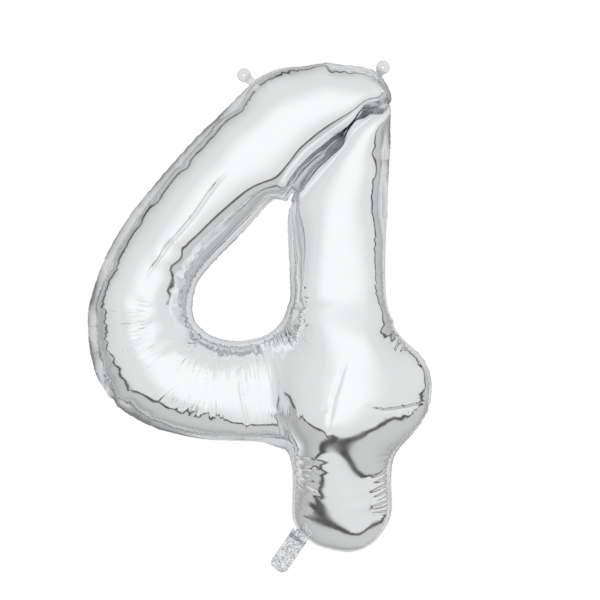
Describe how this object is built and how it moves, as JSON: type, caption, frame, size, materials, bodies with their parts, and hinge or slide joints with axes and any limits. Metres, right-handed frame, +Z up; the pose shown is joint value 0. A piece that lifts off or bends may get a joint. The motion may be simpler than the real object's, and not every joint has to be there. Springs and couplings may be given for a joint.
{
  "type": "foil number balloon",
  "caption": "Inflated silver foil balloon in the shape of a figure four, with round hanging tabs and a filling tail with a film valve.",
  "frame": {"origin": "centre of the left hanging tab's eyelet, on the weld plane between the two foils", "axes": "+Z up along the figure's height, -Y out of the front foil, +X towards the reader's right"},
  "size_m": [0.5682, 0.1562, 0.8438],
  "materials": {
    "silver_foil": "mirror-bright metallised film, puckered along the seams",
    "tab_foil": "flat welded metallised film, bright",
    "tail_foil": "flat metallised film with a fine grey speckled print",
    "valve_film": "clear polyethylene film, slightly milky",
    "release_ink": "thin grey heat-resistant print"
  },
  "bodies": {
    "envelope": {"front_foil": "silver_foil", "back_foil": "silver_foil", "neck_front_film": "valve_film", "neck_back_film": "valve_film", "release_print": "release_ink"},
    "left_tab": {"left_tab_front_ply": "tab_foil", "left_tab_back_ply": "tab_foil"},
    "right_tab": {"right_tab_front_ply": "tab_foil", "right_tab_back_ply": "tab_foil"},
    "tail": {"tail_front_ply": "tail_foil", "tail_back_ply": "tail_foil", "tail_front_film": "valve_film", "tail_back_film": "valve_film"},
    "front_leaf": {"front_valve_leaf": "valve_film"},
    "back_leaf": {"back_valve_leaf": "valve_film"}
  },
  "joints": [
    {"name": "left_tab_fold", "type": "hinge", "parent": "envelope", "child": "left_tab", "pos_m": [0.00981, 0, -0.00853], "axis": [0.6561, 0, 0.7547], "range_deg": [-110, 110]},
    {"name": "right_tab_fold", "type": "hinge", "parent": "envelope", "child": "right_tab", "pos_m": [0.222, 0, 0.002], "axis": [0.829, 0, -0.5592], "range_deg": [-110, 110]},
    {"name": "tail_fold", "type": "hinge", "parent": "envelope", "child": "tail", "pos_m": [0.09, 0, -0.763], "axis": [-0.8192, 0, 0.5736], "range_deg": [-110, 110]},
    {"name": "front_leaf_open", "type": "hinge", "parent": "envelope", "child": "front_leaf", "pos_m": [0.10623, -0.00013, -0.73982], "axis": [0.8192, 0, -0.5736], "range_deg": [0, 8]},
    {"name": "back_leaf_open", "type": "hinge", "parent": "envelope", "child": "back_leaf", "pos_m": [0.10623, 0.00013, -0.73982], "axis": [0.8192, 0, -0.5736], "range_deg": [-8, 0]}
  ],
  "couplings": [
    {"joint": "back_leaf_open", "follows": "front_leaf_open", "ratio": -1}
  ]
}
